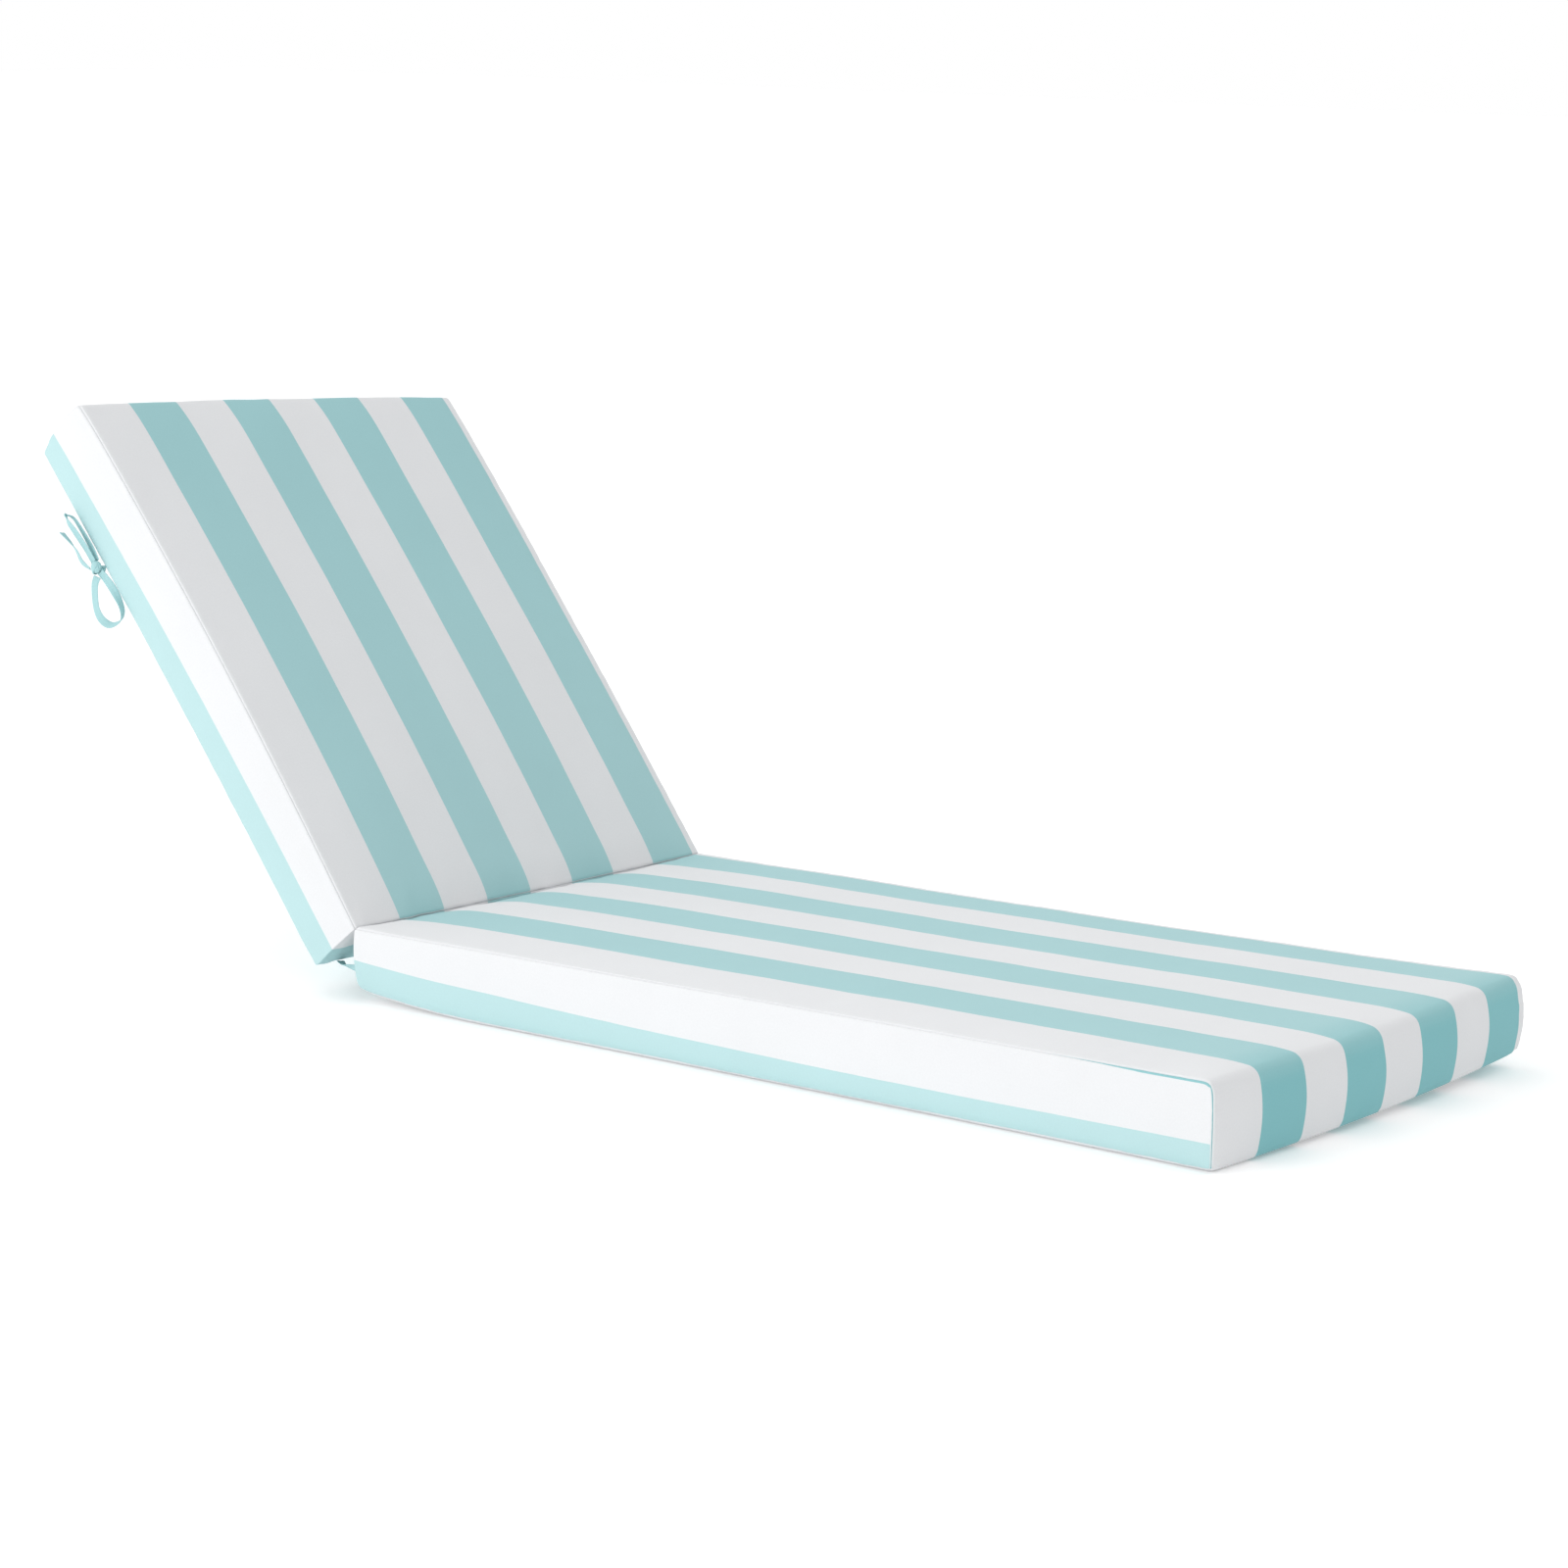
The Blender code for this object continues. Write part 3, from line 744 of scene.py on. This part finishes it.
def paint(piece, pad, boundary, near_sign, top_light, foot_shade=0.0, near_edge=0.0):
    """Writes the cloth's UV map, its stripe count and its painted light and shade, for each corner of each face."""
    mesh = piece.data
    box = box_of(piece)
    corners = np.empty(len(mesh.loops), dtype=np.int32)
    mesh.loops.foreach_get("vertex_index", corners)
    starts = np.empty(len(mesh.polygons), dtype=np.int32)
    mesh.polygons.foreach_get("loop_start", starts)
    totals = np.empty(len(mesh.polygons), dtype=np.int32)
    mesh.polygons.foreach_get("loop_total", totals)
    face = np.repeat(np.arange(len(starts)), totals)
    corner = box[corners]
    middle = np.stack([np.bincount(face, corner[:, i]) / totals for i in range(3)], axis=1)
    half = WIDTH / 2
    tiny = 1e-5
    side = np.abs(np.abs(middle[:, 1]) - half) < tiny
    hinge = np.abs(middle[:, 0] + PAST_CREASE) < tiny
    end = np.abs(middle[:, 0] - pad.length) < tiny
    side, hinge, end = side[face], hinge[face], end[face]
    x, y, z = corner.T
    ahead = np.clip(x, 0.0, pad.length)
    deepest = pad.hinge_depth + (pad.end_depth - pad.hinge_depth) * ahead / pad.length
    depth = -z * deepest / pad.end_depth
    places, lines = np.array(boundary).T
    line = np.interp(ahead, places * STRIPE, lines * STRIPE)
    across = (half - y * near_sign) / STRIPE
    near = y * near_sign > 0.0
    sliver = SLIVER_WIDTH * np.clip((x / pad.length - SLIVER_FROM) / 0.12, 0.0, 1.0) * near_edge * near
    boxing = np.maximum(depth - sliver, -1.0) / (line - sliver)
    last = (pad.length - x) - 0.0024 * near_edge * near
    boxing = np.where((last < 0.0) & near & (near_edge > 0.0), np.minimum(boxing, -0.2), boxing)
    count = np.where(side | hinge, boxing, across)
    stripe = mesh.attributes.new("stripe", "FLOAT", "CORNER")
    stripe.data.foreach_set("value", count.astype(np.float32))
    # Painted light on the top panel, changing along the pad, and painted shade down over the foot end.
    top_painted_light = np.interp(ahead, (0.0, pad.length), top_light)
    rolled = np.clip((ahead - pad.length + 0.05) / 0.05, 0.0, 1.0) + np.clip(-z / 0.02, 0.0, 1.0) * end
    top_painted_light = top_painted_light * (1.0 - 0.5 * np.minimum(rolled, 2.0) * foot_shade)
    # Painted light on the boxing's aqua, and painted shade on the aqua sliver in the near seam's groove.
    painted_light = mesh.attributes.new("painted_light", "FLOAT", "CORNER")
    painted_light.data.foreach_set("value", np.where(side, np.where(boxing < 0.0, 0.2, 1.0), top_painted_light).astype(np.float32))
    u = np.where(side, depth, y)
    v = np.where(hinge, z, np.where(end, pad.length - z, x))
    while mesh.uv_layers:
        mesh.uv_layers.remove(mesh.uv_layers[0])
    layer = mesh.uv_layers.new(name="cloth")
    layer.data.foreach_set("uv", np.stack([u, v], axis=1).astype(np.float32).ravel())
    mesh.materials.clear()
    mesh.materials.append(striped_cloth)


# Each pair sets the painted light at the two ends of a pad's top; the seat's foot end is also painted in shade.
paint(seat_pad, SEAT, SEAT_BOUNDARY, -1.0, (0.62, 0.60), foot_shade=1.0, near_edge=1.0)
paint(back_pad, BACK, BACK_BOUNDARY, 1.0, (0.66, 0.45))
for piece, place in ((seat_pad, SEAT_FRAME), (back_pad, BACK_FRAME)):
    piece.data.transform(place)
    only(piece)
    bpy.ops.object.shade_smooth()
    piece.data.attributes.remove(piece.data.attributes["box"])
    print(piece.name, "stands", round(max(v.co.z for v in piece.data.vertices), 4), "m high")

# %% [markdown]
# The two covers are joined by a strip of cloth sewn through at the crease, which works as the hinge. It
# hangs between the pads' ends, so it is only a soft-edged strip. At the near side a short tape ties the
# seat's rear end to the back's heel.

# %% Hinge web and strap
WEB_THICKNESS = 0.0014
WEB_DEPTH = 0.012
WEB_TOP = 0.0035
web_half = WIDTH / 2 - 0.015
hinge_web = cut_box(
    "crease_web", (-WEB_THICKNESS / 2, -web_half, -WEB_DEPTH), (WEB_THICKNESS / 2, web_half, 0.0),
    ((), even(-web_half, web_half, 0.006), even(-WEB_DEPTH, 0.0, 0.002)),
)
web_flat = points_of(hinge_web)
lay_cloth(hinge_web, np.stack([web_flat[:, 1], web_flat[:, 2]], axis=1))
web_lean = BACK_ANGLE / 2
web_down = Vector((-math.sin(web_lean), 0.0, -math.cos(web_lean)))
web_place = Matrix.Translation(CREASE + web_down * WEB_TOP) @ Matrix.Rotation(web_lean, 4, "Y")
for vertex in hinge_web.data.vertices:
    vertex.co.x *= 0.55 + 0.45 * math.sin(math.pi * min(-vertex.co.z / WEB_DEPTH, 1.0)) ** 0.5
    vertex.co.x += 0.0004 * noise.noise(Vector((vertex.co.y * 60, vertex.co.z * 60, 5.0)))
    vertex.co = web_place @ vertex.co
count = hinge_web.data.attributes.new("stripe", "FLOAT", "CORNER")
corner_points = [hinge_web.data.vertices[loop.vertex_index].co.y for loop in hinge_web.data.loops]
count.data.foreach_set("value", [(WIDTH / 2 + y) / STRIPE for y in corner_points])
# The web's aqua takes a middle tone between the painted shade and the painted light.
web_light = hinge_web.data.attributes.new("painted_light", "FLOAT", "CORNER")
web_light.data.foreach_set("value", [0.6] * len(corner_points))
only(hinge_web)
bpy.ops.object.shade_smooth()
hinge_web.data.materials.append(striped_cloth)

strap_points = [(Vector((CREASE.x + row[0], row[1], row[2])), math.radians(row[3])) for row in smooth_route(STRAP)]
hinge_tape = tape("crease_strap", strap_points, Vector((0.0, -1.0, 0.0)), Matrix.Identity(4))
print("hinge strap", round(length_of(strap_points) * 1000), "mm long")

# %% [markdown]
# Last come the floor and the light. The photograph is a studio shot on white, so the floor is a broad
# pale sheet that runs out of sight, the world gives most of the light, and one large soft lamp in
# front of the near side makes that side the brightest. The world is darker towards the foot end, as a
# grey card would make it, because that end is the darkest.

# %% Floor and light
bpy.ops.object.select_all(action="DESELECT")
bpy.ops.mesh.primitive_plane_add(size=60.0, location=(0.0, 0.0, -0.0005))
floor = bpy.context.object
floor.name = floor.data.name = "studio_floor"
paper = bpy.data.materials.new("studio paper")
paper.use_nodes = True
paper_shader = paper.node_tree.nodes["Principled BSDF"]
paper_shader.inputs["Base Color"].default_value = (0.95, 0.95, 0.95, 1.0)
paper_shader.inputs["Roughness"].default_value = 0.9
paper_shader.inputs["Emission Color"].default_value = (1.0, 1.0, 1.0, 1.0)
paper_shader.inputs["Emission Strength"].default_value = 0.16
floor.data.materials.append(paper)

world = bpy.data.worlds.new("studio white")
world.use_nodes = True
sky = world.node_tree.nodes["Background"]
look = node_of(world.node_tree, "ShaderNodeTexCoord")
look_parts = node_of(world.node_tree, "ShaderNodeSeparateXYZ")
link(world.node_tree, look.outputs["Generated"], look_parts.inputs[0])
low_down = math_node(world.node_tree, "SUBTRACT", look_parts.outputs[0], look_parts.outputs[2])
shade = node_of(world.node_tree, "ShaderNodeMapRange", interpolation_type="SMOOTHSTEP")
shade.inputs["From Min"].default_value = 0.10
shade.inputs["From Max"].default_value = 0.70
shade.inputs["To Min"].default_value = 1.0
shade.inputs["To Max"].default_value = 0.30
link(world.node_tree, low_down, shade.inputs["Value"])
link(world.node_tree, shade.outputs[0], sky.inputs["Color"])
sky.inputs["Strength"].default_value = 1.0
bpy.context.scene.world = world
bpy.context.scene.view_settings.view_transform = "Standard"


def lamp(name, place, target, size, power):
    """A large square lamp, turned to face the target."""
    data = bpy.data.lights.new(name, "AREA")
    data.shape = "SQUARE"
    data.size = size
    data.energy = power
    light = bpy.data.objects.new(name, data)
    light.location = place
    light.rotation_euler = (Vector(target) - Vector(place)).to_track_quat("-Z", "Y").to_euler()
    bpy.context.scene.collection.objects.link(light)
    return light


lamp("key", (-1.0, -4.2, 2.0), (0.0, 0.0, 0.2), 2.4, 50.0)
print("lit by the world and one lamp")

# %% [markdown]
# Each piece rides on the imported body and takes the place of its own node.

# %% Put it together
replaced = {
    "seat_pad": seat_pad, "back_pad": back_pad, "hinge_web": hinge_web, "hinge_strap": hinge_tape,
    "tie_knot": knot_core, "tie_loop_upper": bow["upper_loop"], "tie_loop_lower": bow["lower_loop"],
    "tie_free_end": bow["free_end"],
}
for name, piece in replaced.items():
    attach(piece, "root")
    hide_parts(name)
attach(knot_wrap, "root")
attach(stem, "root")
